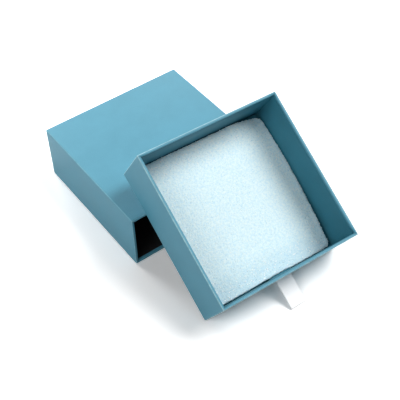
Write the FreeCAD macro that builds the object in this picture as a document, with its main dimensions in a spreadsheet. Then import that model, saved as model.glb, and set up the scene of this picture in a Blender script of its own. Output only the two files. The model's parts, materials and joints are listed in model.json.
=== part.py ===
import FreeCAD, Part
import Sketcher
import math
import os

# A small rigid gift box: a square sleeve of paper-covered greyboard, open at its front, and a drawer that
# slides into it. Here the drawer is out of the sleeve: its front bottom edge stands on the table and its
# underside leans on the sleeve's top front edge. A sponge pad lies in the drawer, and a doubled ribbon
# comes out of a slit in the drawer's front.
#
# Millimetres. The origin is the centre of the sleeve's underside, the mouth faces -Y and +Z is up. The
# drawer's pieces are drawn level, with the middle of the drawer's front bottom edge at the origin, and
# their Placement leans them.

SIZES = {
    # the sleeve
    "sleeve_width": 90.0,
    "sleeve_depth": 89.0,
    "sleeve_height": 34.6,
    "sleeve_edge_radius": 0.8,
    # the materials, from the outside in: paper, corner tape, board, turned-in paper, lining paper
    "board_thickness": 1.2,
    "paper_thickness": 0.14,
    "tape_thickness": 0.08,
    "tape_reach": 9.0,
    # the covering papers
    "sleeve_turn_in": 14.0,
    "sleeve_under_turn": 12.0,
    "sleeve_lining_setback": 1.6,
    "base_sheet_gap": 0.15,
    "drawer_turn_in": 12.0,
    "drawer_lining_setback": 1.4,
    "mitre_gap": 0.12,
    # the drawer's running clearances in the sleeve, and its folded edges
    "side_clearance": 0.2,
    "top_clearance": 0.9,
    "end_clearance": 0.2,
    "drawer_edge_radius": 0.45,
    # how the drawer leans on the sleeve
    "lean_angle": 31.95,
    "lean_turn": 2.05,
    "lean_offset": 4.5,
    "lean_gap": 0.25,
    # the ribbon
    "ribbon_width": 10.0,
    "ribbon_thickness": 0.25,
    "ribbon_reach": 16.3,
    "ribbon_height": 9.9,
    "ribbon_offset": 3.0,
    "ribbon_loop": 0.95,
    "ribbon_root_gap": 0.55,
    "ribbon_tail": 7.0,
    "slit_clearance": 0.3,
    "tip_clearance": 0.1,
    "patch_width": 15.0,
    "patch_height": 5.0,
    "patch_thickness": 0.1,
    "patch_corner_radius": 1.0,
    # the pad
    "pad_side_gap": 0.8,
    "pad_end_gap": 0.75,
    "pad_thickness": 6.3,
    "pad_corner_radius": 6.0,
    "pad_edge_radius": 1.5,
    "pad_turn": 0.8,
    "pad_floor_gap": 0.15,
}

doc = FreeCAD.newDocument("gift_box")
sheet = doc.addObject("Spreadsheet::Sheet", "Sizes")
for row, (name, value) in enumerate(SIZES.items(), start=1):
    sheet.set(f"A{row}", name)
    sheet.set(f"B{row}", str(value))
    sheet.setAlias(f"B{row}", name)
doc.recompute()

# Sizes that several pieces share, each an expression on the sheet.
PAPER = "Sizes.paper_thickness"
BOARD = "Sizes.board_thickness"
SKIN = f"({PAPER} + Sizes.tape_thickness)"
SHELL = f"({SKIN} + {BOARD})"
RIM = f"({SHELL} + {PAPER})"
WALL = f"({RIM} + {PAPER})"
WIDE = "Sizes.sleeve_width"
DEEP = "Sizes.sleeve_depth"
TALL = "Sizes.sleeve_height"
MOUTH = f"(-{DEEP} / 2)"
DRAWER_WIDE = f"({WIDE} - 2 * {WALL} - 2 * Sizes.side_clearance)"
DRAWER_DEEP = f"({DEEP} - {WALL} - Sizes.end_clearance)"
DRAWER_TALL = f"({TALL} - 2 * {WALL} - Sizes.top_clearance)"
RIBBON_STACK = "(2 * Sizes.ribbon_thickness)"
PAD_FRONT = f"({WALL} + {RIBBON_STACK} + Sizes.patch_thickness + Sizes.pad_end_gap)"
PAD_BACK = f"({DRAWER_DEEP} - {WALL} - Sizes.pad_end_gap)"
PAD_WIDE = f"({DRAWER_WIDE} - 2 * {WALL} - 2 * Sizes.pad_side_gap)"
PAD_DEEP = f"({PAD_BACK} - {PAD_FRONT})"
OVERCUT = "1"

ACROSS = FreeCAD.Vector(1, 0, 0)
ALONG = FreeCAD.Vector(0, 1, 0)
UP = FreeCAD.Vector(0, 0, 1)


def value(text):
    """The number that an expression on the sheet gives."""
    result = sheet.evalExpression(text)
    return float(getattr(result, "Value", result))


def box(name, low, length):
    """A Part::Box from the expressions of its low corner and of its three lengths."""
    solid = doc.addObject("Part::Box", name)
    for axis, text in zip("xyz", low):
        solid.setExpression(f"Placement.Base.{axis}", text)
    for side, text in zip(("Length", "Width", "Height"), length):
        solid.setExpression(side, text)
    return solid


def joined(name, *solids):
    result = doc.addObject("Part::MultiFuse", name)
    result.Shapes = list(solids)
    return result


def shared(name, first, second):
    result = doc.addObject("Part::MultiCommon", name)
    result.Shapes = [first, second]
    return result


def without(name, solid, *tools):
    """The solid less each tool in turn."""
    for count, tool in enumerate(tools, start=1):
        result = doc.addObject("Part::Cut", name if count == len(tools) else f"{name}_cut{count}")
        result.Base, result.Tool = solid, tool
        solid = result
    return solid


def rounded(name, solid, radius, wanted):
    """The solid with a fillet on each edge that wanted() picks by its middle point and its direction."""
    doc.recompute()
    fillet = doc.addObject("Part::Fillet", name)
    fillet.Base = solid
    size = value(radius)
    picked = [
        number
        for number, edge in enumerate(solid.Shape.Edges, start=1)
        if wanted(edge.CenterOfMass, edge.tangentAt(edge.FirstParameter))
    ]
    fillet.Edges = [(number, size, size) for number in picked]
    return fillet


def lies_along(direction, axis):
    return abs(direction.dot(axis)) > 0.999


def board(name, low, length, radius=None, wanted=None):
    """A greyboard panel: a rectangle padded to its height, its chosen outer edges rounded."""
    body = doc.addObject("PartDesign::Body", name)
    plane = next(item for item in body.Origin.OriginFeatures if item.Role == "XY_Plane")
    outline = body.newObject("Sketcher::SketchObject", f"{name}_outline")
    outline.AttachmentSupport = [(plane, "")]
    outline.MapMode = "FlatFace"
    for axis, text in zip("xyz", low):
        outline.setExpression(f"AttachmentOffset.Base.{axis}", text)
    corners = [FreeCAD.Vector(x, y, 0) for x, y in ((0, 0), (9, 0), (9, 9), (0, 9))]
    for line in range(4):
        outline.addGeometry(Part.LineSegment(corners[line], corners[(line + 1) % 4]), False)
    for line in range(4):
        outline.addConstraint(Sketcher.Constraint("Coincident", line, 2, (line + 1) % 4, 1))
        outline.addConstraint(Sketcher.Constraint("Vertical" if line % 2 else "Horizontal", line))
    outline.addConstraint(Sketcher.Constraint("Coincident", 0, 1, -1, 1))
    for label, kind, line, text in (
        ("across", "DistanceX", 0, length[0]),
        ("along", "DistanceY", 1, length[1]),
    ):
        index = outline.addConstraint(Sketcher.Constraint(kind, line, 1, line, 2, 9.0))
        outline.renameConstraint(index, label)
        outline.setExpression(f"Constraints.{label}", text)
    pad = body.newObject("PartDesign::Pad", f"{name}_pad")
    pad.Profile = outline
    pad.setExpression("Length", length[2])
    doc.recompute()
    if radius:
        fillet = body.newObject("PartDesign::Fillet", f"{name}_edges")
        edges = [
            f"Edge{number}"
            for number, edge in enumerate(pad.Shape.Edges, start=1)
            if wanted(edge.CenterOfMass, edge.tangentAt(edge.FirstParameter))
        ]
        fillet.Base = (pad, edges)
        fillet.setExpression("Radius", radius)
    return body


# ---------------------------------------------------------------- the sleeve

BOARD_RADIUS = f"(Sizes.sleeve_edge_radius - {SKIN})"


def sleeve_layer(name, inset, front):
    """A rounded block inside the sleeve's outer faces by inset, which starts at front in Y."""
    block = box(
        f"{name}_block",
        (f"-{WIDE} / 2 + {inset}", front, inset),
        (f"{WIDE} - 2 * {inset}", f"{DEEP} / 2 - {inset} - ({front})", f"{TALL} - 2 * {inset}"),
    )
    rear = value(f"{DEEP} / 2 - {inset}")

    def folded(middle, direction):
        return lies_along(direction, ALONG) or abs(middle.y - rear) < 1e-6

    return rounded(name, block, f"Sizes.sleeve_edge_radius - {inset}", folded)


def sleeve_boards():
    """Top and base run full width. The sides stand between them, and the back fits inside all four."""
    front = f"{MOUTH} + {PAPER}"
    rear = f"({DEEP} / 2 - {SKIN})"
    run = f"{rear} - ({front})"
    half = value(f"{WIDE} / 2 - {SKIN}")
    back = value(rear)

    def outer_corner(middle):
        return abs(abs(middle.x) - half) < 1e-6 or abs(middle.y - back) < 1e-6

    made = []
    for name, low, face in (
        ("sleeve_base_board", SKIN, SKIN),
        ("sleeve_top_board", f"{TALL} - {SHELL}", f"{TALL} - {SKIN}"),
    ):
        level = value(face)

        def wanted(middle, direction, level=level):
            at_corner = abs(abs(middle.x) - half) < 1e-6 and abs(middle.y - back) < 1e-6
            return at_corner or (abs(middle.z - level) < 1e-6 and outer_corner(middle))

        made.append(
            board(
                name,
                (f"-{WIDE} / 2 + {SKIN}", front, low),
                (f"{WIDE} - 2 * {SKIN}", run, BOARD),
                BOARD_RADIUS,
                wanted,
            )
        )
    for name, low in (
        ("sleeve_left_board", f"-{WIDE} / 2 + {SKIN}"),
        ("sleeve_right_board", f"{WIDE} / 2 - {SHELL}"),
    ):

        def upright(middle, direction):
            at_corner = abs(abs(middle.x) - half) < 1e-6 and abs(middle.y - back) < 1e-6
            return at_corner and lies_along(direction, UP)

        made.append(
            board(
                name,
                (low, front, SHELL),
                (BOARD, run, f"{TALL} - 2 * {SHELL}"),
                BOARD_RADIUS,
                upright,
            )
        )
    made.append(
        board(
            "sleeve_back_board",
            (f"-{WIDE} / 2 + {SHELL}", f"{DEEP} / 2 - {SHELL}", SHELL),
            (f"{WIDE} - 2 * {SHELL}", BOARD, f"{TALL} - 2 * {SHELL}"),
        )
    )
    return made


def sleeve_tapes():
    """Four tape strips, each folded round one of the boards' long joints under the covering paper."""
    under_paper = sleeve_layer("sleeve_under_paper", PAPER, f"{MOUTH} + {PAPER}")
    over_boards = sleeve_layer("sleeve_over_boards", SKIN, f"{MOUTH} + {PAPER}")
    layer = without("sleeve_tape_layer", under_paper, over_boards)
    length = f"{DEEP} - {PAPER} - {SKIN}"
    strips = [
        box(
            f"sleeve_tape_zone{number}",
            (across, f"{MOUTH} + {PAPER}", height),
            ("Sizes.tape_reach", length, "Sizes.tape_reach"),
        )
        for number, (across, height) in enumerate(
            (across, height)
            for across in (f"-{WIDE} / 2", f"{WIDE} / 2 - Sizes.tape_reach")
            for height in ("0", f"{TALL} - Sizes.tape_reach")
        )
    ]
    return shared("sleeve_edge_tapes", layer, joined("sleeve_tape_zones", *strips))


def mitre(name, corner, inward, depth_axis, reach, depth):
    """A thin blade on a corner's diagonal, which parts the turned-in paper there.

    corner is the point where the blade starts, inward the signs of its run across the two edges, and
    depth_axis the direction in which the paper is turned in.
    """
    blade = doc.addObject("Part::Box", name)
    blade.setExpression("Length", reach)
    blade.setExpression("Width", "Sizes.mitre_gap")
    blade.setExpression("Height", depth)
    run = FreeCAD.Vector(*inward).normalize()
    side = depth_axis.cross(run)
    start = FreeCAD.Vector(*corner) - side * (value("Sizes.mitre_gap") / 2)
    turned = FreeCAD.Matrix(
        run.x, side.x, depth_axis.x, start.x,
        run.y, side.y, depth_axis.y, start.y,
        run.z, side.z, depth_axis.z, start.z,
        0, 0, 0, 1,
    )  # fmt: skip
    blade.Placement = FreeCAD.Placement(turned)
    return blade


def sleeve_wrap():
    """The covering paper: five faces, folded round the mouth's edge and turned in, open underneath."""
    outside = sleeve_layer("sleeve_outside", "0", MOUTH)
    hollow = sleeve_layer("sleeve_board_space", PAPER, f"{MOUTH} + {PAPER}")
    turned = box(
        "sleeve_turned_paper",
        (f"-{WIDE} / 2 + {SHELL}", MOUTH, SHELL),
        (f"{WIDE} - 2 * {SHELL}", "Sizes.sleeve_turn_in", f"{TALL} - 2 * {SHELL}"),
    )
    opening = box(
        "sleeve_opening",
        (f"-{WIDE} / 2 + {RIM}", f"{MOUTH} - {OVERCUT}", RIM),
        (f"{WIDE} - 2 * {RIM}", f"Sizes.sleeve_turn_in + 2 * {OVERCUT}", f"{TALL} - 2 * {RIM}"),
    )
    window = box(
        "sleeve_underside_window",
        (f"-{WIDE} / 2 + Sizes.sleeve_under_turn", f"{MOUTH} + Sizes.sleeve_under_turn", f"-{OVERCUT}"),
        (
            f"{WIDE} - 2 * Sizes.sleeve_under_turn",
            f"{DEEP} - 2 * Sizes.sleeve_under_turn",
            f"{OVERCUT} + {SKIN}",
        ),
    )
    skin = joined("sleeve_skin", without("sleeve_hollow_skin", outside, hollow), turned)
    edge_x = value(f"{WIDE} / 2 - {PAPER}")
    heights = (value(PAPER), value(f"{TALL} - {PAPER}"))
    blades = [
        mitre(
            f"sleeve_mitre_{across}_{height}",
            (across * edge_x, value(MOUTH) - value(OVERCUT), heights[height]),
            (-across, 0, 1 - 2 * height),
            ALONG,
            f"2 * {RIM}",
            f"Sizes.sleeve_turn_in + 2 * {OVERCUT}",
        )
        for across in (-1, 1)
        for height in (0, 1)
    ]
    parted = joined("sleeve_mitres", *blades)
    return without("sleeve_wrap", skin, opening, window, parted)


def sleeve_base_sheet():
    """The sheet pasted into the window that the wrap's turned edges leave under the sleeve."""
    inset = "(Sizes.sleeve_under_turn + Sizes.base_sheet_gap)"
    return box(
        "sleeve_base_sheet",
        (f"-{WIDE} / 2 + {inset}", f"{MOUTH} + {inset}", "0"),
        (f"{WIDE} - 2 * {inset}", f"{DEEP} - 2 * {inset}", PAPER),
    )


def sleeve_lining():
    """The black paper inside: four walls and the back, which start a little inside the mouth."""
    front = f"({MOUTH} + Sizes.sleeve_lining_setback)"
    outside = box(
        "sleeve_lining_outside",
        (f"-{WIDE} / 2 + {RIM}", front, RIM),
        (f"{WIDE} - 2 * {RIM}", f"{DEEP} / 2 - {RIM} - {front}", f"{TALL} - 2 * {RIM}"),
    )
    inside = box(
        "sleeve_lining_inside",
        (f"-{WIDE} / 2 + {WALL}", f"{MOUTH} - {OVERCUT}", WALL),
        (f"{WIDE} - 2 * {WALL}", f"{DEEP} - {WALL} + {OVERCUT}", f"{TALL} - 2 * {WALL}"),
    )
    return without("sleeve_lining", outside, inside)


# ---------------------------------------------------------------- the drawer, drawn level


def drawer_layer(name, inset, top, radius):
    """A block inside the drawer's outer faces by inset, up to top, its corners and base edges rounded."""
    block = box(
        f"{name}_block",
        (f"-{DRAWER_WIDE} / 2 + {inset}", inset, inset),
        (f"{DRAWER_WIDE} - 2 * {inset}", f"{DRAWER_DEEP} - 2 * {inset}", f"{top} - {inset}"),
    )
    level = value(inset)

    def folded(middle, direction):
        return lies_along(direction, UP) or abs(middle.z - level) < 1e-6

    return rounded(name, block, radius, folded)


def slit(name):
    """The ribbon's way through the drawer's front."""
    height = f"({RIBBON_STACK} + 2 * Sizes.slit_clearance)"
    width = "(Sizes.ribbon_width + 2 * Sizes.slit_clearance)"
    return box(
        name,
        (f"Sizes.ribbon_offset - {width} / 2", f"-{OVERCUT}", f"Sizes.ribbon_height - {height} / 2"),
        (width, f"2 * {OVERCUT} + {WALL}", height),
    )


def drawer_boards():
    """The base lies under all four walls. Front and back run full width, the sides between them."""
    top = f"({DRAWER_TALL} - {PAPER})"
    rise = f"{top} - {SHELL}"
    across = f"{DRAWER_WIDE} - 2 * {SKIN}"
    along = f"{DRAWER_DEEP} - 2 * {SKIN}"
    left = f"-{DRAWER_WIDE} / 2 + {SKIN}"
    radius = f"(Sizes.drawer_edge_radius - {SKIN})"
    half = value(f"{DRAWER_WIDE} / 2 - {SKIN}")
    ends = (value(SKIN), value(f"{DRAWER_DEEP} - {SKIN}"))
    underside = value(SKIN)

    def corner(middle, direction):
        at_end = min(abs(middle.y - end) for end in ends) < 1e-6
        return lies_along(direction, UP) and abs(abs(middle.x) - half) < 1e-6 and at_end

    def corner_or_fold(middle, direction):
        return corner(middle, direction) or abs(middle.z - underside) < 1e-6

    front = board("drawer_front_board", (left, SKIN, SHELL), (across, BOARD, rise), radius, corner)
    pocket_in_front(front)
    rear = f"{DRAWER_DEEP} - {SHELL}"
    return [
        board("drawer_base_board", (left, SKIN, SKIN), (across, along, BOARD), radius, corner_or_fold),
        front,
        board("drawer_back_board", (left, rear, SHELL), (across, BOARD, rise), radius, corner),
        board("drawer_left_board", (left, SHELL, SHELL), (BOARD, f"{DRAWER_DEEP} - 2 * {SHELL}", rise)),
        board(
            "drawer_right_board",
            (f"{DRAWER_WIDE} / 2 - {SHELL}", SHELL, SHELL),
            (BOARD, f"{DRAWER_DEEP} - 2 * {SHELL}", rise),
        ),
    ]


def pocket_in_front(front):
    """The ribbon's slit, pocketed right through the drawer's front board."""
    plane = next(item for item in front.Origin.OriginFeatures if item.Role == "XZ_Plane")
    outline = front.newObject("Sketcher::SketchObject", "drawer_slit_outline")
    outline.AttachmentSupport = [(plane, "")]
    outline.MapMode = "FlatFace"
    outline.setExpression("AttachmentOffset.Base.x", "Sizes.ribbon_offset")
    outline.setExpression("AttachmentOffset.Base.y", "Sizes.ribbon_height")
    corners = [FreeCAD.Vector(x, y, 0) for x, y in ((-3, -1), (3, -1), (3, 1), (-3, 1))]
    for line in range(4):
        outline.addGeometry(Part.LineSegment(corners[line], corners[(line + 1) % 4]), False)
    for line in range(4):
        outline.addConstraint(Sketcher.Constraint("Coincident", line, 2, (line + 1) % 4, 1))
        outline.addConstraint(Sketcher.Constraint("Vertical" if line % 2 else "Horizontal", line))
    outline.addConstraint(Sketcher.Constraint("Symmetric", 0, 1, 2, 1, -1, 1))
    for label, kind, line, text in (
        ("across", "DistanceX", 0, "Sizes.ribbon_width + 2 * Sizes.slit_clearance"),
        ("high", "DistanceY", 1, f"{RIBBON_STACK} + 2 * Sizes.slit_clearance"),
    ):
        index = outline.addConstraint(Sketcher.Constraint(kind, line, 1, line, 2, 2.0))
        outline.renameConstraint(index, label)
        outline.setExpression(f"Constraints.{label}", text)
    doc.recompute()
    whole = front.Shape.Volume
    pocket = front.newObject("PartDesign::Pocket", "drawer_slit")
    pocket.Profile = outline
    pocket.Type = "ThroughAll"
    pocket.Midplane = True
    doc.recompute()
    if front.Shape.Volume > whole - 0.5 * value(f"Sizes.ribbon_width * {RIBBON_STACK} * {BOARD}"):
        raise RuntimeError("the slit in the drawer's front cuts nothing")


def drawer_tapes():
    """Four tape strips, each folded round one of the boards' upright corners under the paper."""
    top = f"({DRAWER_TALL} - {PAPER})"
    under_paper = drawer_layer("drawer_under_paper", PAPER, top, f"Sizes.drawer_edge_radius - {PAPER}")
    over_boards = drawer_layer("drawer_over_boards", SKIN, DRAWER_TALL, f"Sizes.drawer_edge_radius - {SKIN}")
    layer = without("drawer_tape_layer", under_paper, over_boards)
    zones = [
        box(
            f"drawer_tape_zone{number}",
            (across, along, SHELL),
            ("Sizes.tape_reach", "Sizes.tape_reach", f"{top} - {SHELL}"),
        )
        for number, (across, along) in enumerate(
            (across, along)
            for across in (f"-{DRAWER_WIDE} / 2", f"{DRAWER_WIDE} / 2 - Sizes.tape_reach")
            for along in ("0", f"{DRAWER_DEEP} - Sizes.tape_reach")
        )
    ]
    return shared("drawer_corner_tapes", layer, joined("drawer_tape_zones", *zones))


def drawer_wrap():
    """One sheet: the underside, four walls, over the rim and turned in, parted at the rim's corners."""
    outside = drawer_layer("drawer_outside", "0", DRAWER_TALL, "Sizes.drawer_edge_radius")
    hollow = drawer_layer(
        "drawer_board_space", PAPER, f"({DRAWER_TALL} - {PAPER})", f"Sizes.drawer_edge_radius - {PAPER}"
    )
    turned = box(
        "drawer_turned_paper",
        (f"-{DRAWER_WIDE} / 2 + {SHELL}", SHELL, f"{DRAWER_TALL} - Sizes.drawer_turn_in"),
        (f"{DRAWER_WIDE} - 2 * {SHELL}", f"{DRAWER_DEEP} - 2 * {SHELL}", "Sizes.drawer_turn_in"),
    )
    opening = box(
        "drawer_opening",
        (f"-{DRAWER_WIDE} / 2 + {RIM}", RIM, f"{DRAWER_TALL} - Sizes.drawer_turn_in - {OVERCUT}"),
        (
            f"{DRAWER_WIDE} - 2 * {RIM}",
            f"{DRAWER_DEEP} - 2 * {RIM}",
            f"Sizes.drawer_turn_in + 2 * {OVERCUT}",
        ),
    )
    skin = joined("drawer_skin", without("drawer_hollow_skin", outside, hollow), turned)
    edge_x = value(f"{DRAWER_WIDE} / 2 - {PAPER}")
    edges_y = (value(PAPER), value(f"{DRAWER_DEEP} - {PAPER}"))
    blades = [
        mitre(
            f"drawer_mitre_{across}_{end}",
            (across * edge_x, edges_y[end], value(f"{DRAWER_TALL} + {OVERCUT}")),
            (-across, 1 - 2 * end, 0),
            UP * -1,
            f"2 * {RIM}",
            f"Sizes.drawer_turn_in + 2 * {OVERCUT}",
        )
        for across in (-1, 1)
        for end in (0, 1)
    ]
    parted = joined("drawer_mitres", *blades)
    return without("drawer_wrap", skin, opening, parted, slit("drawer_wrap_slit"))


def drawer_lining():
    """The lining paper: the floor and four walls, which stop a little below the rim."""
    outside = box(
        "drawer_lining_outside",
        (f"-{DRAWER_WIDE} / 2 + {RIM}", RIM, RIM),
        (
            f"{DRAWER_WIDE} - 2 * {RIM}",
            f"{DRAWER_DEEP} - 2 * {RIM}",
            f"{DRAWER_TALL} - Sizes.drawer_lining_setback - {RIM}",
        ),
    )
    inside = box(
        "drawer_lining_inside",
        (f"-{DRAWER_WIDE} / 2 + {WALL}", WALL, WALL),
        (f"{DRAWER_WIDE} - 2 * {WALL}", f"{DRAWER_DEEP} - 2 * {WALL}", DRAWER_TALL),
    )
    return without("drawer_lining", outside, inside, slit("drawer_lining_slit"))


# ---------------------------------------------------------------- the ribbon and the pad


def ribbon_tails():
    """The ribbon's two ends, laid together: in through the slit, then down the inside of the front."""
    left = "Sizes.ribbon_offset - Sizes.ribbon_width / 2"
    through = box(
        "ribbon_through_slit",
        (left, "-Sizes.ribbon_root_gap / 3", f"Sizes.ribbon_height - {RIBBON_STACK} / 2"),
        ("Sizes.ribbon_width", f"{WALL} + {RIBBON_STACK} + Sizes.ribbon_root_gap / 3", RIBBON_STACK),
    )
    down = box(
        "ribbon_down_inside",
        (left, WALL, "Sizes.ribbon_height - Sizes.ribbon_tail"),
        ("Sizes.ribbon_width", RIBBON_STACK, "Sizes.ribbon_tail"),
    )
    bent = joined("ribbon_bent", through, down)
    inner = value(f"{WALL} + {RIBBON_STACK}")
    top = value(f"Sizes.ribbon_height + {RIBBON_STACK} / 2")

    def bend(middle, direction):
        return lies_along(direction, ACROSS) and middle.y > inner - 1e-6 and middle.z > top - 1e-6

    return rounded("ribbon_tails", bent, f"0.8 * {RIBBON_STACK}", bend)


def ribbon_anchor_patch():
    """The paper patch, its corners rounded, that holds the ribbon's ends against the inside of the front."""
    cut = box(
        "patch_blank",
        (
            "Sizes.ribbon_offset - Sizes.patch_width / 2",
            f"{WALL} + {RIBBON_STACK}",
            "Sizes.ribbon_height - Sizes.ribbon_tail",
        ),
        ("Sizes.patch_width", "Sizes.patch_thickness", "Sizes.patch_height"),
    )
    return rounded(
        "ribbon_anchor_patch",
        cut,
        "Sizes.patch_corner_radius",
        lambda middle, direction: lies_along(direction, ALONG),
    )


def ribbon_pull():
    """The doubled ribbon, from its root at the origin along -Y to the small loop where it folds back."""
    radius = "(Sizes.ribbon_loop / 2)"
    strap = box(
        "ribbon_layers",
        ("-Sizes.ribbon_width / 2", f"-Sizes.ribbon_reach + {radius}", f"-{RIBBON_STACK} / 2"),
        ("Sizes.ribbon_width", f"Sizes.ribbon_reach - {radius}", RIBBON_STACK),
    )

    def loop(name, size):
        roll = doc.addObject("Part::Cylinder", name)
        roll.setExpression("Radius", size)
        roll.setExpression("Height", "Sizes.ribbon_width")
        roll.Placement.Rotation = FreeCAD.Rotation(UP, ACROSS)
        roll.setExpression("Placement.Base.x", "-Sizes.ribbon_width / 2")
        roll.setExpression("Placement.Base.y", f"-Sizes.ribbon_reach + {radius}")
        return roll

    outer = joined("ribbon_with_fold", strap, loop("ribbon_fold", radius))
    return without("ribbon_pull", outer, loop("ribbon_fold_hole", f"{radius} - Sizes.ribbon_thickness"))


def foam_pad():
    """The sponge pad, centred on the origin with its underside at Z = 0."""
    block = box(
        "foam_block",
        (f"-{PAD_WIDE} / 2", f"-{PAD_DEEP} / 2", "0"),
        (PAD_WIDE, PAD_DEEP, "Sizes.pad_thickness"),
    )
    corners = rounded(
        "foam_corners", block, "Sizes.pad_corner_radius", lambda middle, direction: lies_along(direction, UP)
    )
    top = value("Sizes.pad_thickness")
    return rounded(
        "foam_pad", corners, "Sizes.pad_edge_radius", lambda middle, direction: middle.z > top - 1e-6
    )


# ---------------------------------------------------------------- where the drawer lies


def leaning_drawer():
    """The drawer's Placement: turned in its own plane, then leaned, with its low corner on the table."""
    lean = math.radians(value("Sizes.lean_angle"))
    turn = math.radians(value("Sizes.lean_turn"))
    rise = value(DRAWER_WIDE) / 2 * math.sin(turn) * math.sin(lean)
    rise -= value("Sizes.drawer_edge_radius") * (math.cos(lean) + math.sin(lean) - 1)
    climb = value("Sizes.lean_gap") + (value(TALL) - rise) * math.cos(lean)
    foot = FreeCAD.Vector(value("Sizes.lean_offset"), value(MOUTH) - climb / math.sin(lean), rise)
    leaned = FreeCAD.Rotation(ACROSS, value("Sizes.lean_angle"))
    turned = FreeCAD.Rotation(UP, -value("Sizes.lean_turn"))
    return FreeCAD.Placement(foot, leaned.multiply(turned))


def drooping_ribbon(drawer):
    """The ribbon's Placement: its root at the slit, and its loop resting just above the table."""
    root = FreeCAD.Vector(
        value("Sizes.ribbon_offset"), -value("Sizes.ribbon_root_gap"), value("Sizes.ribbon_height")
    )
    length = value("Sizes.ribbon_reach - Sizes.ribbon_loop / 2")
    drop = drawer.multVec(root).z - value("Sizes.ribbon_loop / 2 + Sizes.tip_clearance")
    down_front = drawer.Rotation.multVec(ALONG).z
    down_face = drawer.Rotation.multVec(UP).z
    steepest = math.hypot(down_front, down_face)
    droop = math.asin(min(1, drop / length / steepest)) - math.atan2(down_front, down_face)
    return drawer.multiply(FreeCAD.Placement(root, FreeCAD.Rotation(ACROSS, math.degrees(droop))))


def resting_pad(drawer):
    """The pad's Placement: on the drawer's floor, midway between the patch and the back, a little askew."""
    middle = (value(PAD_FRONT) + value(PAD_BACK)) / 2
    centre = FreeCAD.Vector(0, middle, value(f"{WALL} + Sizes.pad_floor_gap"))
    return drawer.multiply(FreeCAD.Placement(centre, FreeCAD.Rotation(UP, -value("Sizes.pad_turn"))))


sleeve_pieces = [*sleeve_boards(), sleeve_tapes(), sleeve_wrap(), sleeve_base_sheet(), sleeve_lining()]
drawer_pieces = [
    *drawer_boards(),
    drawer_tapes(),
    drawer_wrap(),
    drawer_lining(),
    ribbon_tails(),
    ribbon_anchor_patch(),
]
ribbon, pad = ribbon_pull(), foam_pad()
doc.recompute()

leaning = leaning_drawer()
for piece in drawer_pieces:
    piece.Placement = leaning.multiply(piece.Placement)
ribbon.Placement = drooping_ribbon(leaning)
pad.Placement = resting_pad(leaning)
pieces = [*sleeve_pieces, *drawer_pieces, ribbon, pad]
for piece in pieces:
    piece.Label = piece.Name
doc.recompute()

for thing in doc.Objects:
    if {"Invalid", "Error"} & set(thing.State):
        raise RuntimeError(f"{thing.Label} did not compute")
for piece in pieces:
    if piece.Shape.isNull() or not piece.Shape.isValid():
        raise RuntimeError(f"{piece.Label} has no valid shape")

os.makedirs("parts", exist_ok=True)
for piece in pieces:
    piece.Shape.exportStep(f"parts/{piece.Label}.step")
    extent = piece.Shape.BoundBox
    print(
        f"{piece.Label:22s} solids {len(piece.Shape.Solids)} volume {piece.Shape.Volume:9.2f}"
        f"  x {extent.XMin:7.2f} {extent.XMax:7.2f}  y {extent.YMin:7.2f} {extent.YMax:7.2f}"
        f"  z {extent.ZMin:6.2f} {extent.ZMax:6.2f}"
    )
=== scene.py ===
import bmesh
import bpy
import json
import math
from mathutils import Matrix, Vector, noise


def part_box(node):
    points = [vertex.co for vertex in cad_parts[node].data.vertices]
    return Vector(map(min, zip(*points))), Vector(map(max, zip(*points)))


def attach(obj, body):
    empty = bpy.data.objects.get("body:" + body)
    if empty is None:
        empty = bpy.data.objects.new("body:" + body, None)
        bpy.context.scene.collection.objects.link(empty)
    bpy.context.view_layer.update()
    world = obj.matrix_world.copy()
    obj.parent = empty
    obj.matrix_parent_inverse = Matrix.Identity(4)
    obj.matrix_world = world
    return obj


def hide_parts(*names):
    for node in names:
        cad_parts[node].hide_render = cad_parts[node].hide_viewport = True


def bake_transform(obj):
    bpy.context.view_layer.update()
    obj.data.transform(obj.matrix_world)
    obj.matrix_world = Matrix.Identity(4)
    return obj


# A small rigid gift box covered in dull blue paper: a sleeve with a black inside, and its drawer, taken
# out and leaned on the sleeve, with a sponge pad in it and a white ribbon pull.
#
# Lengths are in metres. The drawer's pieces are modelled level, in the drawer's own space: the middle of
# its front bottom edge is the origin, X runs across, Y to its back and Z up. DRAWER turns that space
# into the frame's.

MM = 0.001

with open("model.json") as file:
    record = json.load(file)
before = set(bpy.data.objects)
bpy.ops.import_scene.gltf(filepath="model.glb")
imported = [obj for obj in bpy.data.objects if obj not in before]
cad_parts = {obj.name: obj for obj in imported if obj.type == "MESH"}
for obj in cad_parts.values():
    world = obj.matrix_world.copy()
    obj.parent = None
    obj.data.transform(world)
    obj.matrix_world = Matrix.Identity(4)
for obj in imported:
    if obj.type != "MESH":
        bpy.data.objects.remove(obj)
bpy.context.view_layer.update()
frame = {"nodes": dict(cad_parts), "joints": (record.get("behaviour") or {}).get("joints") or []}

# ---------------------------------------------------------------- sizes, as in the CAD part

BOARD = 1.2 * MM
PAPER = 0.14 * MM
TAPE = 0.08 * MM
RIM = BOARD + TAPE + 2 * PAPER
WALL = RIM + PAPER

SLEEVE_WIDTH = 90.0 * MM
SLEEVE_DEPTH = 89.0 * MM
SLEEVE_HEIGHT = 34.6 * MM
SLEEVE_FOLD = 0.8 * MM
SLEEVE_TURN_IN = 14.0 * MM
BASE_SHEET_GAP = 0.15 * MM

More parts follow.
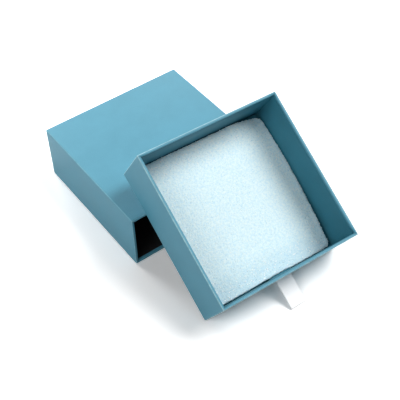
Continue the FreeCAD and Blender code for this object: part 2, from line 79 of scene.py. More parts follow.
SIDE_CLEARANCE = 0.2 * MM
END_CLEARANCE = 0.2 * MM
TOP_CLEARANCE = 0.9 * MM
DRAWER_WIDTH = SLEEVE_WIDTH - 2 * WALL - 2 * SIDE_CLEARANCE
DRAWER_DEPTH = SLEEVE_DEPTH - WALL - END_CLEARANCE
DRAWER_HEIGHT = SLEEVE_HEIGHT - 2 * WALL - TOP_CLEARANCE
DRAWER_FOLD = 0.45 * MM
DRAWER_TURN_IN = 12.0 * MM
MITRE_GAP = 0.12 * MM

RIBBON_WIDTH = 10.0 * MM
RIBBON_THICKNESS = 0.25 * MM
RIBBON_REACH = 16.3 * MM
RIBBON_OFFSET = 3.0 * MM
RIBBON_HEIGHT = 9.9 * MM
RIBBON_ROOT_GAP = 0.55 * MM
RIBBON_TAIL = 7.0 * MM
SLIT_CLEARANCE = 0.3 * MM


def drawer_space():
    """The drawer's own space, from the axes of its joints and the ribbon's root."""
    joints = {joint["name"]: joint for joint in frame["joints"]}
    across = -Vector(joints["ribbon_flex"]["axis"]).normalized()
    up = Vector(joints["pad_lift"]["axis"]).normalized()
    along = up.cross(across)
    turned = Matrix((across, along, up)).transposed()
    root = Vector(joints["ribbon_flex"]["pos_m"])
    foot = root - turned @ Vector((RIBBON_OFFSET, -RIBBON_ROOT_GAP, RIBBON_HEIGHT))
    return Matrix.Translation(foot) @ turned.to_4x4()


DRAWER = drawer_space()

# ---------------------------------------------------------------- the camera

CAMERA_LENS = 80.7
CAMERA_PLACE = Vector((-193.96, -317.48, 379.27)) * MM
CAMERA_AZIMUTH = -35.214
CAMERA_ELEVATION = 46.879
CAMERA_ROLL = -1.826


def camera():
    lens = bpy.data.cameras.new("camera")
    lens.lens = CAMERA_LENS
    lens.clip_start, lens.clip_end = 0.01, 20
    made = bpy.data.objects.new("camera", lens)
    turned = (
        Matrix.Rotation(math.radians(CAMERA_AZIMUTH), 4, "Z")
        @ Matrix.Rotation(math.radians(90 - CAMERA_ELEVATION), 4, "X")
        @ Matrix.Rotation(math.radians(CAMERA_ROLL), 4, "Z")
    )
    made.matrix_world = Matrix.Translation(CAMERA_PLACE) @ turned
    bpy.context.scene.collection.objects.link(made)
    bpy.context.scene.camera = made


# ---------------------------------------------------------------- shader helpers


class Wire:
    """A socket of a node tree. Python's operators on it add Math nodes."""

    def __init__(self, shader, socket):
        self.shader, self.socket = shader, socket

    def maths(self, operation, *values):
        return self.shader.node("Math", dict(enumerate(values)), operation=operation)

    def __add__(self, other):
        return self.maths("ADD", self, other)

    def __sub__(self, other):
        return self.maths("SUBTRACT", self, other)

    def __rsub__(self, other):
        return self.maths("SUBTRACT", other, self)

    def __mul__(self, other):
        return self.maths("MULTIPLY", self, other)

    def __abs__(self):
        return self.maths("ABSOLUTE", self)

    def sine(self):
        return self.maths("SINE", self)

    __radd__ = __add__
    __rmul__ = __mul__


class Shader:
    """A material's or a world's node tree, built from its inputs to its output."""

    def __init__(self, owner):
        owner.use_nodes = True
        self.tree = owner.node_tree
        self.tree.nodes.clear()

    def node(self, kind, inputs=(), output=0, **settings):
        """Adds a node with those settings, then gives its inputs values or links them to wires."""
        made = self.tree.nodes.new(f"ShaderNode{kind}")
        for name, setting in settings.items():
            setattr(made, name, setting)
        for key, given in dict(inputs).items():
            if isinstance(given, Wire):
                self.tree.links.new(given.socket, made.inputs[key])
            else:
                made.inputs[key].default_value = given
        return Wire(self, made.outputs[output])

    def place(self, space=None):
        """Object coordinates, or the coordinates in a piece's own space."""
        here = self.node("TexCoord", output="Object")
        if space is None:
            return here
        placing = {"Vector": here, "Location": space.to_translation(), "Rotation": space.to_euler()}
        return self.node("Mapping", placing, vector_type="TEXTURE")

    def axis(self, vector, name):
        """One of the vector's components, X, Y or Z."""
        return self.node("SeparateXYZ", {"Vector": vector}, output=name)

    def noise(self, place, size, detail, roughness=0.5):
        """Noise whose blobs are about size metres across."""
        settings = {"Vector": place, "Scale": 1 / size, "Detail": detail, "Roughness": roughness}
        return self.node("TexNoise", settings)

    def cells(self, place, size, output="Distance"):
        """Cells about size metres across: the Distance from their middles, or each one's own Color."""
        return self.node("TexVoronoi", {"Vector": place, "Scale": 1 / size}, output=output)

    def mixed(self, factor, first, second):
        """The first colour where the factor is 0, the second where it is 1."""
        return self.node("Mix", {0: factor, 6: first, 7: second}, output=2, data_type="RGBA")

    def between(self, wire, low, high, start=0.0, end=1.0):
        """Runs smoothly from start to end as the wire goes from low to high."""
        levels = {0: wire, 1: low, 2: high, 3: start, 4: end}
        return self.node("MapRange", levels, interpolation_type="SMOOTHSTEP")

    def raised(self, height, distance, strength):
        """The surface's normal with a relief as high as distance, in metres, where height is 1."""
        return self.node("Bump", {"Height": height, "Distance": distance, "Strength": strength})

    def ray(self, kind):
        """1 for a ray of that kind, such as Camera or Glossy, and 0 for any other."""
        return self.node("LightPath", output=f"Is {kind} Ray")

    def surface(self, **sockets):
        """Makes a Principled surface the output. Its sockets' names have _ for a space."""
        named = {name.replace("_", " "): given for name, given in sockets.items()}
        self.output(self.node("BsdfPrincipled", named))

    def output(self, wire, kind="OutputMaterial"):
        made = self.tree.nodes.new(f"ShaderNode{kind}")
        self.tree.links.new(wire.socket, made.inputs["Surface"])


def colour(red, green, blue):
    """A linear colour from the three sRGB levels, 0 to 255."""
    return (*[((level / 255 + 0.055) / 1.055) ** 2.4 for level in (red, green, blue)], 1)


def grey(level):
    """A linear grey, where 1 is white."""
    return (level, level, level, 1)


def material(name):
    made = bpy.data.materials.new(name)
    return made, Shader(made)


# ---------------------------------------------------------------- materials

PAPER_CLOUDS = 14 * MM
PAPER_FELT = 0.5 * MM
PAPER_RELIEF = 0.02 * MM
# The noise and the width of the paler folds, which are rubbed wear and a painted highlight.
FOLD_RUBS = 2.2 * MM
FOLD_WEAR_AND_HIGHLIGHT = 0.7 * MM
BOARD_FLECKS = 0.7 * MM
BOARD_RELIEF = 0.04 * MM
TAPE_FIBRES = 0.4 * MM
TAPE_RELIEF = 0.02 * MM

BLUE = (colour(79, 143, 164), colour(85, 150, 172))
# The drawer's lining is the blue paper painted darker: painted shade on the drawer's inner walls.
SHADED_LINING_BLUE = (colour(56, 121, 139), colour(61, 128, 147))
BLACK = (colour(14, 14, 15), colour(22, 22, 23))


def near_folds(shader, place, middle, half, width):
    """1 on the edges of a box and 3 at its corners, falling to 0 at width from its edges."""
    apart = shader.node("VectorMath", {0: place, 1: middle}, operation="SUBTRACT")
    sides = []
    for axis, reach in zip("XYZ", half):
        along = abs(shader.axis(apart, axis))
        sides.append(shader.between(along, reach - width, reach - 0.15 * width))
    return sides[0] * sides[1] + sides[1] * sides[2] + sides[2] * sides[0]


def paper(name, dyes, space=None, roughness=0.42, shine=0.3, folds=None, worn_and_highlight=None):
    """Dyed paper with a dull coat: a fine felt grain, faint clouds in its colour and gloss, paler folds
    that are rubbed and also carry a painted highlight.

    dyes are its darker and its lighter colour. folds is the middle and the half sides of the box that it
    covers, in that space, and the last argument is the colour that shows where its folds are rubbed and
    painted with a highlight.
    """
    made, shader = material(name)
    place = shader.place(space)
    clouds = shader.noise(place, PAPER_CLOUDS, detail=3)
    felt = shader.noise(place, PAPER_FELT, detail=4, roughness=0.6)
    tone = shader.between(0.55 * clouds + 0.45 * felt, 0.3, 0.7)
    dyed = shader.mixed(tone, *dyes)
    gloss = roughness + 0.12 * clouds
    if folds:
        rubs = shader.noise(place, FOLD_RUBS, detail=5, roughness=0.65)
        # Paler along the folds: rubbed wear, and also a painted highlight on the folded edges.
        wear_and_highlight = near_folds(shader, place, *folds, FOLD_WEAR_AND_HIGHLIGHT) * shader.between(rubs, 0.25, 0.75, 0.35, 1.0)
        dyed = shader.mixed(wear_and_highlight, dyed, worn_and_highlight)
        gloss = gloss - 0.08 * wear_and_highlight
    shader.surface(
        Base_Color=dyed,
        Roughness=gloss,
        Specular_IOR_Level=shine,
        Normal=shader.raised(felt, PAPER_RELIEF, 0.35),
    )
    return made


def greyboard():
    """Recycled board: grey with darker and lighter flecks."""
    made, shader = material("greyboard")
    flecks = shader.noise(shader.place(), BOARD_FLECKS, detail=6, roughness=0.75)
    tone = shader.between(flecks, 0.35, 0.65)
    shader.surface(
        Base_Color=shader.mixed(tone, colour(140, 134, 124), colour(178, 172, 160)),
        Roughness=0.85 + 0.1 * flecks,
        Normal=shader.raised(flecks, BOARD_RELIEF, 0.5),
    )
    return made


def kraft_tape():
    """Thin brown paper tape with fine fibres."""
    made, shader = material("kraft_tape")
    fibres = shader.noise(shader.place(), TAPE_FIBRES, detail=5, roughness=0.7)
    shader.surface(
        Base_Color=shader.mixed(fibres, colour(190, 158, 116), colour(214, 184, 142)),
        Roughness=0.6 + 0.2 * fibres,
        Normal=shader.raised(fibres, TAPE_RELIEF, 0.4),
    )
    return made


SPONGE_PATCHES = 1.3 * MM
SPONGE_CRUMBS = 0.5 * MM
SPONGE_PORES = 1.25 * MM
SPONGE_SKINS = 1.1 * MM
SPONGE_RELIEF = 0.4 * MM
SPONGE_SOAKED = 1.2 * MM

# Where the painted shade at the pad's front starts and is full, and where its calm middle starts and is
# full.
SPONGE_FRONT_SHADE = (19 * MM, 3 * MM)
SPONGE_BACK = (84 * MM, 66 * MM)
SPONGE_SIDES = (40 * MM, 24 * MM)


def sponge():
    """White sponge: its open cells painted a darker pale blue as the shade in them, torn skins that
    glint, and light that soaks in.

    It is calm in the middle of the pad, and its cells are deeper, glint more and are painted darker, as
    shade, towards the pad's sides.
    Its front is painted a little darker and bluer, as shade.
    """
    made, shader = material("sponge")
    place = shader.place(DRAWER)
    patches = shader.noise(place, SPONGE_PATCHES, detail=5, roughness=0.72)
    crumbs = shader.noise(place, SPONGE_CRUMBS, detail=3, roughness=0.6)
    pores = shader.cells(place, SPONGE_PORES)
    skins = shader.cells(place, SPONGE_SKINS)
    chosen = shader.cells(place, SPONGE_SKINS, output="Color")
    across = abs(shader.axis(place, "X"))
    along = shader.axis(place, "Y")
    front = shader.between(along, *SPONGE_FRONT_SHADE)
    calm = (1 - front) * shader.between(along, *SPONGE_BACK) * shader.between(across, *SPONGE_SIDES)
    glints = shader.between(skins, 0.36, 0.22) * shader.between(chosen, 0.54, 0.58) * (1 - 0.7 * calm)
    shaded_pores = shader.between(pores, 0.3, 0.08) * shader.between(crumbs, 0.35, 0.6)
    mottle = shader.between(0.6 * patches + 0.4 * crumbs, 0.36, 0.6)
    base = shader.mixed(mottle, colour(206, 238, 252), colour(233, 252, 255))
    # Painted shade: the pad's front is made darker and bluer.
    base = shader.mixed(0.35 * front, base, colour(182, 216, 230))
    # Painted shade: the open cells are made darker blue, more so towards the pad's sides.
    base = shader.mixed(shaded_pores * (0.7 - 0.3 * calm), base, colour(130, 182, 206))
    relief = (0.45 * patches + 0.35 * crumbs + 0.3 * glints - 0.4 * shaded_pores) * (1.8 - calm)
    shader.surface(
        Base_Color=shader.mixed(glints, base, colour(252, 255, 255)),
        Roughness=0.8 - 0.44 * glints,
        Metallic=0.6 * glints,
        Normal=shader.raised(relief, SPONGE_RELIEF, 0.8),
        Subsurface_Weight=0.2,
        Subsurface_Radius=(1.0, 1.15, 1.25),
        Subsurface_Scale=SPONGE_SOAKED,
    )
    return made


RIBBON_RIB = 0.45 * MM
RIBBON_WEAVE = 0.2 * MM
RIBBON_RELIEF = 0.03 * MM
SELVAGE_WIDTH = 0.7 * MM
SELVAGE_RISE = 0.3 * MM


def satin():
    """White satin ribbon: fine ribs across it, a close weave, and firmer woven edges."""
    made, shader = material("satin")
    place = shader.place(DRAWER)
    weave = shader.noise(place, RIBBON_WEAVE, detail=2)
    along = shader.node("Attribute", output="Fac", attribute_name="along")
    ribs = 0.5 + 0.5 * (along * (math.tau / RIBBON_RIB)).sine()
    across = abs(shader.axis(place, "X") - RIBBON_OFFSET)
    selvage = RIBBON_WIDTH / 2 - SELVAGE_WIDTH
    edge = shader.between(across, selvage, selvage + SELVAGE_RISE)
    tone = 0.6 * ribs + 0.4 * weave
    relief = 0.5 * ribs + 0.3 * weave + 0.5 * edge
    shader.surface(
        Base_Color=shader.mixed(tone, colour(246, 248, 251), colour(255, 255, 255)),
        Roughness=0.38 + 0.14 * weave - 0.06 * ribs,
        Normal=shader.raised(relief, RIBBON_RELIEF, 0.5),
    )
    return made


def dress(names, made):
    """Gives a material to CAD nodes."""
    for name in names:
        node = frame["nodes"][name]
        node.data.materials.clear()
        node.data.materials.append(made)


def papers_and_boards():
    """Dresses the CAD nodes that stay. Returns the blue papers of the sleeve, drawer and lining; the
    lining's blue is painted darker, as shade.
    """
    sleeve_half = (SLEEVE_WIDTH / 2, SLEEVE_DEPTH / 2, SLEEVE_HEIGHT / 2)
    sleeve_box = ((0, 0, SLEEVE_HEIGHT / 2), sleeve_half)
    drawer_half = (DRAWER_WIDTH / 2, DRAWER_DEPTH / 2, DRAWER_HEIGHT / 2)
    drawer_box = ((0, DRAWER_DEPTH / 2, DRAWER_HEIGHT / 2), drawer_half)
    # The fold colours here are rubbed wear and also a painted highlight on the folded edges.
    sleeve_blue = paper("sleeve_blue", BLUE, folds=sleeve_box, worn_and_highlight=colour(136, 190, 205))
    drawer_blue = paper("drawer_blue", BLUE, DRAWER, folds=drawer_box, worn_and_highlight=colour(176, 218, 228))
    # The lining's blue is painted darker, as the shade inside the drawer.
    shaded_lining_blue = paper("shaded_lining_blue", SHADED_LINING_BLUE, DRAWER, shine=0.12)
    dress(["sleeve_base_sheet"], sleeve_blue)
    dress(["drawer_lining"], shaded_lining_blue)
    dress(["sleeve_lining"], paper("black_paper", BLACK, roughness=0.6))
    dress([name for name in frame["nodes"] if name.endswith("_board")], greyboard())
    dress(["sleeve_edge_tapes", "drawer_corner_tapes"], kraft_tape())
    return sleeve_blue, drawer_blue, shaded_lining_blue


# ---------------------------------------------------------------- modelling helpers


def on_axis(axis, amount):
    """A vector of that length along axis 0, 1 or 2."""
    place = Vector((0, 0, 0))
    place[axis] = amount
    return place


def blended(start, end, share):
    return start + (end - start) * share


def eased(share):
    """0 to 1, starting and ending gently."""
    share = min(max(share, 0.0), 1.0)
    return share * share * (3 - 2 * share)


def sloped(place, start, width):
    """0 up to the start, and 1 from that width past it on."""
    return eased((place - start) / width)


def cut(mesh, faces, point, normal):
    """Cuts those faces where a plane crosses them."""
    edges = {edge for face in faces for edge in face.edges}
    corners = {corner for face in faces for corner in face.verts}
    parts = [*faces, *edges, *corners]
    bmesh.ops.bisect_plane(mesh, geom=parts, dist=1e-7, plane_co=point, plane_no=normal)


def extruded(mesh, edges):
    """Extrudes the edges without moving them. Returns the new edges and the new points."""
    parts = bmesh.ops.extrude_edge_only(mesh, edges=edges)["geom"]
    new_edges = [part for part in parts if isinstance(part, bmesh.types.BMEdge)]
    new_points = [part for part in parts if isinstance(part, bmesh.types.BMVert)]
    return new_edges, new_points


def finished(mesh, name, look, nodes, space=None):
    """The bmesh as a smooth piece in its place, with its material, standing for those CAD nodes."""
    if space is not None:
        bmesh.ops.transform(mesh, matrix=space, verts=mesh.verts, space=Matrix())
    data = bpy.data.meshes.new(name)
    mesh.to_mesh(data)
    mesh.free()
    data.shade_smooth()
    data.materials.append(look)
    piece = bpy.data.objects.new(name, data)
    bpy.context.scene.collection.objects.link(piece)
    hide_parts(*nodes)
    return piece


def thickened(piece, thickness, offset):
    """Gives a piece made as a surface its thickness: inwards with an offset of -1, both ways with 0."""
    thick = piece.modifiers.new("thickness", "SOLIDIFY")
    thick.thickness = thickness
    thick.offset = offset


# ---------------------------------------------------------------- the covering papers
#
# A covering paper is a box with folded edges. It is opened on the side where the sleeve or the drawer is
# open, folded over the rim and turned in. low and high are the box's corners. axis and way say where it
# opens: way is 1 for the high side of that axis and -1 for the low side.

RIM_FOLD = 0.42 * MM
RIM_INNER_FOLD = 0.3 * MM
SUPPORT = 0.25 * MM
FIELD = 5.5 * MM
LONG_WAVE = 24 * MM
SHORT_WAVE = 9 * MM
WAVE_HEIGHT = 0.05 * MM
SLEEVE_SEED = 3
DRAWER_SEED = 11
PASTED_PAPER = 0.9 * PAPER
MITRE_REACH = 9 * MM
MERGED = 0.03 * MM


def carton(low, high, fold):
    """A box whose edges are folded round, in small fields, with support rows beside the folds."""
    mesh = bmesh.new()
    bmesh.ops.create_cube(mesh, size=1)
    bmesh.ops.scale(mesh, vec=high - low, verts=mesh.verts)
    bmesh.ops.translate(mesh, vec=(low + high) / 2, verts=mesh.verts)
    bmesh.ops.bevel(
        mesh, geom=mesh.edges[:], offset=fold, segments=5, profile=0.5, affect="EDGES", material=-1
    )
    for axis in range(3):
        start, end = low[axis] + fold + SUPPORT, high[axis] - fold - SUPPORT
        fields = round((end - start) / FIELD)
        for step in range(fields + 1):
            row = on_axis(axis, blended(start, end, step / fields))
            cut(mesh, mesh.faces[:], row, on_axis(axis, 1))
    return mesh


def opened(mesh, low, high, axis, way):
    """Takes off the side where the box opens, down to where the rim's outer fold starts."""
    level = (high if way > 0 else low)[axis] - way * RIM_FOLD
    cut(mesh, mesh.faces[:], on_axis(axis, level), on_axis(axis, way))
    gone = [face for face in mesh.faces if way * (face.calc_center_median()[axis] - level) > 0]
    bmesh.ops.delete(mesh, geom=gone, context="FACES")


def rim_section(depth):
    """The paper's section over the rim: how far in from the outside, and how far below the rim's top."""
    quarter = [math.radians(angle) for angle in (22.5, 45, 67.5, 90)]
    flat = RIM - RIM_INNER_FOLD
    outer = [(RIM_FOLD * (1 - math.cos(a)), RIM_FOLD * (1 - math.sin(a))) for a in quarter]
    inner = [
        (flat + RIM_INNER_FOLD * math.sin(a), RIM_INNER_FOLD * (1 - math.cos(a))) for a in (0, *quarter)
    ]
    inside = [(RIM, RIM_INNER_FOLD + SUPPORT), (RIM, depth / 2), (RIM, depth)]
    return outer + inner + inside


def turned_in(mesh, low, high, axis, way, depth):
    """Folds the paper over the rim and turns it in to that depth, along the rim's section."""
    level = (high if way > 0 else low)[axis]
    rim = [edge for edge in mesh.edges if edge.is_boundary]
    for inset, drop in rim_section(depth):
        rim, points = extruded(mesh, rim)
        for point in points:
            for side in range(3):
                if side != axis:
                    point.co[side] = min(max(point.co[side], low[side] + inset), high[side] - inset)
            point.co[axis] = level - way * drop
    bmesh.ops.remove_doubles(mesh, verts=mesh.verts[:], dist=1e-6)


def mitred(mesh, low, high, axis, way, depth):
    """Parts the turned-in paper on the diagonal at each corner of the rim, down to where it ends."""
    level = (high if way > 0 else low)[axis]
    one, two = (side for side in range(3) if side != axis)

    def by_corner(face, corner):
        """Whether a face lies in the turned-in paper or on the rim, near that corner."""
        middle = face.calc_center_median()
        apart = [abs(middle[side] - corner[side]) for side in (one, two)]
        drop = way * (level - middle[axis])
        on_rim = drop < 0.6 * RIM_FOLD
        return max(apart) < MITRE_REACH and drop < depth and (min(apart) > 0.9 * RIM or on_rim)

    for first in (low, high):
        for second in (low, high):
            corner = on_axis(one, first[one]) + on_axis(two, second[two])
            diagonal = on_axis(one, 1 if first is low else -1) + on_axis(two, -1 if second is low else 1)
            diagonal.normalize()
            for side in (-0.5, 0.5):
                faces = [face for face in mesh.faces if by_corner(face, corner)]
                cut(mesh, faces, corner + diagonal * side * MITRE_GAP, diagonal)
            gone = []
            for face in mesh.faces:
                apart = abs((face.calc_center_median() - corner).dot(diagonal))
                if by_corner(face, corner) and apart < 0.49 * MITRE_GAP:
                    gone.append(face)
            bmesh.ops.delete(mesh, geom=gone, context="FACES")


def window(mesh, facing, low, high, axes):
    """Cuts a rectangular opening, between low and high on two axes, in the side that faces that way."""

    def there(face):
        middle = face.calc_center_median()
        near = all(low[axis] - FIELD * 2 < middle[axis] < high[axis] + FIELD * 2 for axis in axes)
        return face.normal.dot(facing) > 0.99 and near

    mesh.normal_update()
    for axis in axes:
        for corner in (low, high):
            faces = [face for face in mesh.faces if there(face)]
            cut(mesh, faces, on_axis(axis, corner[axis]), on_axis(axis, 1))
    mesh.normal_update()
    gone = []
    for face in mesh.faces:
        middle = face.calc_center_median()
        if there(face) and all(low[axis] < middle[axis] < high[axis] for axis in axes):
            gone.append(face)
    bmesh.ops.delete(mesh, geom=gone, context="FACES")


def papered(mesh, name, body, look, node, seed, space=None):
    """The folded paper with faint waves, as pasted paper has, and its thickness inwards."""
    # Sorted by where they are, the points merge in the same way each run.
    points = sorted(mesh.verts, key=lambda point: tuple(point.co))
    bmesh.ops.remove_doubles(mesh, verts=points, dist=MERGED)
    bmesh.ops.recalc_face_normals(mesh, faces=mesh.faces)
    mesh.normal_update()
    moves = []
    for point in mesh.verts:
        long = noise.noise(point.co / LONG_WAVE + Vector((seed, 0, 0)))
        short = noise.noise(point.co / SHORT_WAVE)
        moves.append((point, point.normal * (long + 0.5 * short) * WAVE_HEIGHT))
    for point, move in moves:
        point.co += move
    piece = finished(mesh, name, look, [node], space)
    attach(piece, body)
    thickened(piece, PASTED_PAPER, -1)


def folded_paper(low, high, fold, axis, way, depth):
    """The paper round a box: folded at its edges and over its rim, turned in and mitred."""
    mesh = carton(low, high, fold)
    opened(mesh, low, high, axis, way)
    turned_in(mesh, low, high, axis, way, depth)
    mitred(mesh, low, high, axis, way, depth)
    return mesh


def sleeve_paper(blue):
    low = Vector((-SLEEVE_WIDTH / 2, -SLEEVE_DEPTH / 2, 0))
    high = Vector((SLEEVE_WIDTH / 2, SLEEVE_DEPTH / 2, SLEEVE_HEIGHT))
    mesh = folded_paper(low, high, SLEEVE_FOLD, axis=1, way=-1, depth=SLEEVE_TURN_IN)
    sheet_low, sheet_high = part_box("sleeve_base_sheet")
    gap = Vector((BASE_SHEET_GAP, BASE_SHEET_GAP, 0))
    window(mesh, Vector((0, 0, -1)), Vector(sheet_low) - gap, Vector(sheet_high) + gap, (0, 1))
    papered(mesh, "sleeve_paper", "sleeve", blue, "sleeve_wrap", SLEEVE_SEED)


def drawer_paper(blue):
    low = Vector((-DRAWER_WIDTH / 2, 0, 0))
    high = Vector((DRAWER_WIDTH / 2, DRAWER_DEPTH, DRAWER_HEIGHT))
    mesh = folded_paper(low, high, DRAWER_FOLD, axis=2, way=1, depth=DRAWER_TURN_IN)
    slit = Vector((RIBBON_OFFSET, 0, RIBBON_HEIGHT))
    reach = Vector((RIBBON_WIDTH / 2 + SLIT_CLEARANCE, 0, RIBBON_THICKNESS + SLIT_CLEARANCE))
    window(mesh, Vector((0, -1, 0)), slit - reach, slit + reach, (0, 2))
    papered(mesh, "drawer_paper", "drawer", blue, "drawer_wrap", DRAWER_SEED, DRAWER)


# ---------------------------------------------------------------- the sponge pad
#
# The pad starts as a square of fields. A field's place is (u, v), each from -1 to 1: u runs across the
# drawer and v to its back.

PAD_FIELDS = 236
PAD_STEPS = 15
PAD_UNDERSIDE = WALL + 0.15 * MM
PAD_TOP = PAD_UNDERSIDE + 6.2 * MM
PAD_LEFT = -41.15 * MM
PAD_RIGHT = 39.2 * MM
PAD_FRONT = 2.35 * MM
PAD_BACK = 85.25 * MM
PAD_SIDE_LIMIT = DRAWER_WIDTH / 2 - WALL - 0.1 * MM
PAD_FRONT_LIMIT = WALL + 0.15 * MM
PAD_BACK_LIMIT = DRAWER_DEPTH - WALL - 0.12 * MM
PAD_SOFT_EDGE = 0.7 * MM
PAD_CORNERS = {(-1, -1): 0.05, (1, -1): 0.075, (-1, 1): 0.05, (1, 1): 0.12}

CELL = 1.15 * MM
CRUMB = 0.62 * MM
TORN_MIDDLE = 0.17 * MM
TORN_EDGE = 0.4 * MM
TORN_WIDTH = 2.2 * MM
TORN_FROM = PAD_UNDERSIDE + 0.05 * MM


def pad_outline(u, v):
    """Where a field lies, seen from above: a square with round corners, cut a little unevenly."""
    corner = PAD_CORNERS[(1 if u > 0 else -1, 1 if v > 0 else -1)]
    a, b = (abs(u) - 1 + corner) / corner, (abs(v) - 1 + corner) / corner
    if a > 0 and b > 0:
        u = math.copysign(1 - corner + corner * a * math.sqrt(1 - b * b / 2), u)
        v = math.copysign(1 - corner + corner * b * math.sqrt(1 - a * a / 2), v)
    across, along = (u + 1) / 2, (v + 1) / 2
    notch = 0.12 * sloped(across, 0.38, 0.08) - 0.47 * sloped(across, 0.61, 0.05)
    left = PAD_LEFT + 0.15 * MM * math.sin(3 * along)
    right = PAD_RIGHT + 1.8 * MM * eased(along / 0.6)
    front = PAD_FRONT + notch * MM
    back = PAD_BACK - 0.4 * MM * across - 1.9 * MM * sloped(across, 0.78, 0.22)
    return blended(left, right, across), blended(front, back, along)


def pad_height(u, v):
    """The pad's top: nearly level, but sunk to the right, to the front and at the right back corner."""
    right = 0.25 * sloped(u, 0.35, 0.35)
    front = 1.4 * sloped(-v, 0.62, 0.38)
    corner = 1.1 * sloped(u + v, 1.5, 0.45)
    swell = 0.2 * noise.noise(Vector((1.7 * u, 1.7 * v, 4.2)))
    return PAD_TOP + (swell - right - front - corner) * MM


def crowded(share):
    """Sets the rows of points closer together near the edges, where the pad is rounded."""
    return share * (1.22 - 0.22 * share * share)


def crumbled(place):
    """The height of the sponge's torn cells over a point, about -1 to 1."""
    cell = noise.voronoi(place / CELL, distance_metric="DISTANCE")[0]
    crumbs = noise.noise(place / CRUMB)
    return 1.5 * (cell[1] - cell[0]) - 0.75 + 0.55 * crumbs


def pad_slab():
    """The slab before its cells are torn, and how near its top's points are to its sides."""
    mesh = bmesh.new()
    bmesh.ops.create_grid(mesh, x_segments=PAD_FIELDS, y_segments=PAD_FIELDS, size=1)
    edge_near = {}
    for point in mesh.verts:
        u, v = crowded(point.co.x), crowded(point.co.y)
        near = min(1 - abs(u), 1 - abs(v)) * DRAWER_WIDTH / 2
        into_edge = max(PAD_SOFT_EDGE - near, 0)
        down = PAD_SOFT_EDGE - math.sqrt(max(PAD_SOFT_EDGE**2 - into_edge**2, 0))
        x, y = pad_outline(u, v)
        point.co = (x, y, pad_height(u, v) - 0.6 * down)
        edge_near[point] = near
    rim = [edge for edge in mesh.edges if edge.is_boundary]
    for rows_left in range(PAD_STEPS, 0, -1):
        rim, points = extruded(mesh, rim)
        for point in points:
            point.co.z += (PAD_UNDERSIDE - point.co.z) / rows_left
    bmesh.ops.holes_fill(mesh, edges=rim, sides=0)
    bmesh.ops.recalc_face_normals(mesh, faces=mesh.faces)
    mesh.normal_update()
    return mesh, edge_near


def sponge_pad(foam):
    mesh, edge_near = pad_slab()
    moves = []
    for point in mesh.verts:
        if point.co.z > TORN_FROM:
            near = edge_near.get(point, 0)
            torn = TORN_MIDDLE + TORN_EDGE * (1 - eased(near / TORN_WIDTH))
            moves.append((point, point.normal * crumbled(point.co) * torn))
    for point, move in moves:
        point.co += move
        point.co.x = min(max(point.co.x, -PAD_SIDE_LIMIT), PAD_SIDE_LIMIT)
        point.co.y = min(max(point.co.y, PAD_FRONT_LIMIT), PAD_BACK_LIMIT)
    piece = finished(mesh, "sponge_pad", foam, ["foam_pad"], DRAWER)
    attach(piece, "pad")


# ---------------------------------------------------------------- the ribbon

RIBBON_FIELDS = 14
RIBBON_LAYER = 0.2 * MM
RIBBON_LIFT = 0.42 * MM


def strand(points):
    """A smooth line over the points, as a bmesh of edges, from a NURBS curve."""
    curve = bpy.data.curves.new("strand", "CURVE")
    curve.dimensions = "3D"
    curve.resolution_u = 8
    spline = curve.splines.new("NURBS")
    spline.points.add(len(points) - 1)
    for spot, (y, z) in zip(spline.points, points):
        spot.co = (0, y, z, 1)
    spline.order_u = 3
    spline.use_endpoint_u = True
    holder = bpy.data.objects.new("strand", curve)
    line = bpy.data.meshes.new_from_object(holder)
    mesh = bmesh.new()
    mesh.from_mesh(line)
    bpy.data.objects.remove(holder)
    bpy.data.curves.remove(curve)
    bpy.data.meshes.remove(line)
    return mesh


def ribbon_path():
    """The ribbon's line in the drawer's YZ plane: tail, lower layer, loop, upper layer, tail."""
    half = RIBBON_THICKNESS / 2
    low, high = RIBBON_HEIGHT - half, RIBBON_HEIGHT + half
    inner, outer = WALL + half, WALL + 3 * half
    foot = RIBBON_HEIGHT - RIBBON_TAIL
    tip = -RIBBON_ROOT_GAP - RIBBON_REACH
    loop = RIBBON_HEIGHT + RIBBON_LIFT
    into = [
        (inner, foot),
        (inner, foot + 3 * MM),
        (inner, low - 0.5 * MM),
        (inner, low),
        (inner - 0.5 * MM, low),
    ]
    below = [
        (-0.5 * MM, low),
        (-4 * MM, low + 0.02 * MM),
        (-9 * MM, low + 0.12 * MM),
        (tip + 2.4 * MM, loop - half - 0.06 * MM),
        (tip + 0.8 * MM, loop - half - 0.24 * MM),
        (tip, loop - half - 0.2 * MM),
    ]
    above = [
        (tip, loop + half + 0.2 * MM),
        (tip + 0.8 * MM, loop + half + 0.28 * MM),
        (tip + 2.4 * MM, loop + half + 0.14 * MM),
        (-9 * MM, high + 0.42 * MM),
        (-4 * MM, high + 0.26 * MM),
        (-0.5 * MM, high),
    ]
    out = [
        (outer - 0.5 * MM, high),
        (outer, high),
        (outer, high - 0.5 * MM),
        (outer, foot + 3 * MM),
        (outer, foot),
    ]
    return into + below + above + out


def measured(mesh):
    """Keeps on each of a strand's points how far along it lies, for the ribs. Returns its length."""
    along = mesh.verts.layers.float.new("along")
    length = 0.0
    points = mesh.verts[:]
    for before, point in zip(points, points[1:]):
        length += (point.co - before.co).length
        point[along] = length
    return length


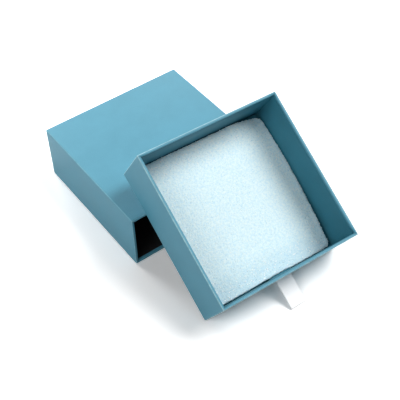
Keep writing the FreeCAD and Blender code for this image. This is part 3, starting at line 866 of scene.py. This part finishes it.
def ribbon(white):
    mesh = strand(ribbon_path())
    bmesh.ops.translate(mesh, verts=mesh.verts, vec=(RIBBON_OFFSET - RIBBON_WIDTH / 2, 0, 0))
    length = measured(mesh)
    line = mesh.edges[:]
    for _ in range(RIBBON_FIELDS):
        line, points = extruded(mesh, line)
        bmesh.ops.translate(mesh, verts=points, vec=(RIBBON_WIDTH / RIBBON_FIELDS, 0, 0))
    bmesh.ops.recalc_face_normals(mesh, faces=mesh.faces)
    nodes = ["ribbon_pull", "ribbon_tails"]
    piece = finished(mesh, "ribbon_strip", white, nodes, DRAWER)
    thickened(piece, RIBBON_LAYER, 0)
    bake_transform(piece)


# ---------------------------------------------------------------- the paper over the ribbon's ends

PATCH_WIDTH = 15.0 * MM
PATCH_TOP = 12.2 * MM
PATCH_FIELDS = 40
PATCH_LIFT = 0.04 * MM
PATCH_PROUD = 0.56 * MM
PATCH_THICKNESS = 0.07 * MM

# How far past the ribbon the paper starts to slope back to the lining, and how wide the slope is.
SLOPE_BESIDE = (0.2 * MM, 0.7 * MM)
SLOPE_ABOVE = (0.45 * MM, 0.9 * MM)


def ribbon_cover(lining):
    """A piece of lining paper pasted over the ribbon's ends, standing proud where they lie under it."""
    mesh = bmesh.new()
    bmesh.ops.create_grid(mesh, x_segments=PATCH_FIELDS, y_segments=PATCH_FIELDS, size=0.5)
    foot = RIBBON_HEIGHT - RIBBON_TAIL
    for point in mesh.verts:
        x = point.co.x * PATCH_WIDTH
        z = blended(foot, PATCH_TOP, point.co.y + 0.5)
        beside = sloped(abs(x) - RIBBON_WIDTH / 2, *SLOPE_BESIDE)
        above = sloped(z - RIBBON_HEIGHT, *SLOPE_ABOVE)
        proud = PATCH_PROUD * (1 - beside) * (1 - above)
        point.co = (x + RIBBON_OFFSET, WALL + PATCH_LIFT + proud, z)
    nodes = ["ribbon_anchor_patch"]
    piece = finished(mesh, "ribbon_cover", lining, nodes, DRAWER)
    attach(piece, "drawer")
    thickened(piece, PATCH_THICKNESS, 0)


# ---------------------------------------------------------------- floor and light

FLOOR_SIZE = 6.0
FLOOR_DROP = 0.05 * MM
FLOOR_LIT = grey(0.7)
FLOOR_SEEN = (1.33, 1.31, 1.3, 1)


def floor():
    """A white floor. The camera sees it brighter than it is, so it is plain white out of the shadows."""
    mesh = bmesh.new()
    bmesh.ops.create_grid(mesh, x_segments=1, y_segments=1, size=FLOOR_SIZE)
    bmesh.ops.translate(mesh, verts=mesh.verts, vec=(0, 0, -FLOOR_DROP))
    data = bpy.data.meshes.new("floor")
    mesh.to_mesh(data)
    mesh.free()
    made = bpy.data.objects.new("floor", data)
    bpy.context.scene.collection.objects.link(made)
    surface, shader = material("floor")
    mirrored = shader.ray("Glossy") + shader.ray("Transmission")
    white = shader.mixed(shader.ray("Camera"), FLOOR_LIT, FLOOR_SEEN)
    white = shader.mixed(mirrored, white, grey(1.0))
    shader.output(shader.node("BsdfDiffuse", {"Color": white}))
    data.materials.append(surface)


def lamp(name, kind, azimuth, elevation, distance, power):
    """A lamp that shines on the origin. Its azimuth is 0 from -Y and 90 from +X, in degrees."""
    source = bpy.data.lights.new(name, kind)
    source.energy = power
    made = bpy.data.objects.new(name, source)
    a, e = math.radians(azimuth), math.radians(elevation)
    towards = Vector((math.sin(a) * math.cos(e), -math.cos(a) * math.cos(e), math.sin(e)))
    turned = towards.to_track_quat("Z", "Y").to_matrix().to_4x4()
    made.matrix_world = Matrix.Translation(towards * distance) @ turned
    bpy.context.scene.collection.objects.link(made)
    return made


def sun(name, azimuth, elevation, strength, spread):
    """A sun whose spread, in degrees, is wide for soft shadows."""
    made = lamp(name, "SUN", azimuth, elevation, 0, strength)
    made.data.angle = math.radians(spread)


def panel(name, azimuth, elevation, distance, power, size):
    """A square lamp, near enough for its light to fall off over the object. The camera misses it."""
    made = lamp(name, "AREA", azimuth, elevation, distance, power)
    made.data.size = size
    made.visible_camera = False
    return made


def light():
    world = bpy.data.worlds.new("studio")
    bpy.context.scene.world = world
    shader = Shader(world)
    seen = shader.ray("Camera") + shader.ray("Glossy")
    shown = shader.mixed(seen, grey(0.02), grey(1.0))
    shader.output(shader.node("Background", {"Color": shown}), kind="OutputWorld")
    panel("back", azimuth=188, elevation=25, distance=0.5, power=2.2, size=0.3)
    sheen = panel("sheen", azimuth=142, elevation=27, distance=0.5, power=0.7, size=0.22)
    sheen.visible_diffuse = False
    sun("key", azimuth=66, elevation=54, strength=2.6, spread=34)
    sun("left", azimuth=288, elevation=45, strength=1.25, spread=36)


# ---------------------------------------------------------------- all together

camera()
sleeve_blue, drawer_blue, shaded_lining_blue = papers_and_boards()
sleeve_paper(sleeve_blue)
drawer_paper(drawer_blue)
sponge_pad(sponge())
ribbon_cover(shaded_lining_blue)
ribbon(satin())
floor()
light()
bpy.context.scene.view_settings.view_transform = "Standard"
